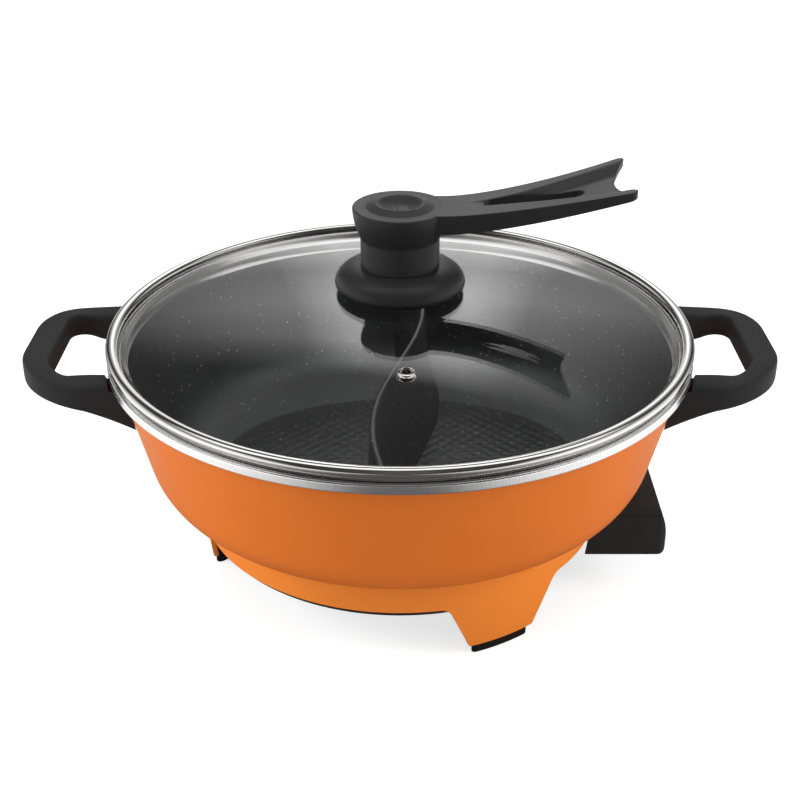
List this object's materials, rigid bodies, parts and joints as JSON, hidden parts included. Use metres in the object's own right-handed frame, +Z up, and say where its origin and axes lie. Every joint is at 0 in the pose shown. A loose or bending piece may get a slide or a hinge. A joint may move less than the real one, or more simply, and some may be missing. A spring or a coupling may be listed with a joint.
{
  "type": "electric hot pot",
  "caption": "Round electric hot pot with an S-shaped divider, lift-off glass lid with a long-armed knob, loop handles, legged base and dial control box.",
  "frame": {"origin": "on the table plane under the pan's axis, which is the middle of the object's box", "axes": "+Z up along the pan's axis, +X towards the handle above the control box, -Y towards the viewer of the picture"},
  "size_m": [0.416, 0.324, 0.236],
  "materials": {
    "pan_aluminium": "satin orange enamel outside, dark non-stick inside, bare turned rim",
    "nonstick": "dark grey non-stick with pale specks",
    "skirt_orange": "glossy orange",
    "black_plastic": "satin black moulding",
    "polished_steel": "polished stainless steel",
    "plain_steel": "zinc-plated steel",
    "bare_aluminium": "plain cast and sheet aluminium",
    "tempered_glass": "clear tempered glass",
    "black_rubber": "matt black rubber",
    "brass": "plain brass",
    "heater_sheath": "oxidised steel sheath",
    "cream_plastic": "heat-resistant cream moulding",
    "red_lens": "clear red plastic",
    "lead_sleeve": "silicone sleeve"
  },
  "bodies": {
    "cooker": {"pan": "pan_aluminium", "pan_divider": "nonstick", "heat_plate": "bare_aluminium", "heating_element": "heater_sheath", "thermal_cutout": "cream_plastic", "pan_studs": "plain_steel", "heat_shield": "bare_aluminium", "base_skirt": "skirt_orange", "base_plate": "black_plastic", "rubber_foot_rear": "black_rubber", "rubber_foot_left": "black_rubber", "rubber_foot_front": "black_rubber", "base_screws": "plain_steel", "right_handle": "black_plastic", "left_handle": "black_plastic", "handle_screws": "plain_steel", "control_tray": "black_plastic", "control_cover": "black_plastic", "control_screws": "plain_steel", "thermostat_body": "cream_plastic", "thermostat_bush": "brass", "sensor_rod": "plain_steel", "lamp_lens": "red_lens", "lamp_body": "cream_plastic", "mains_inlet": "black_plastic", "inlet_pins": "brass", "terminal_block": "cream_plastic", "heater_leads": "lead_sleeve"},
    "lid": {"lid_glass": "tempered_glass", "lid_ring": "polished_steel", "vent_eyelet": "polished_steel", "knob_flange": "black_plastic", "knob_handle": "black_plastic", "knob_cap": "black_plastic", "knob_insert": "brass", "knob_screw": "plain_steel", "knob_washer": "plain_steel", "knob_seal": "black_rubber"},
    "dial": {"dial_knob": "black_plastic", "dial_spindle": "plain_steel"}
  },
  "joints": [
    {"name": "lid_lift", "type": "slide", "parent": "cooker", "child": "lid", "axis": [0, 0, 1], "range_m": [0, 0.15]},
    {"name": "dial_turn", "type": "hinge", "parent": "cooker", "child": "dial", "pos_m": [0.145, 0, 0.0399], "axis": [1, 0, 0], "range_deg": [-270, 0]}
  ]
}
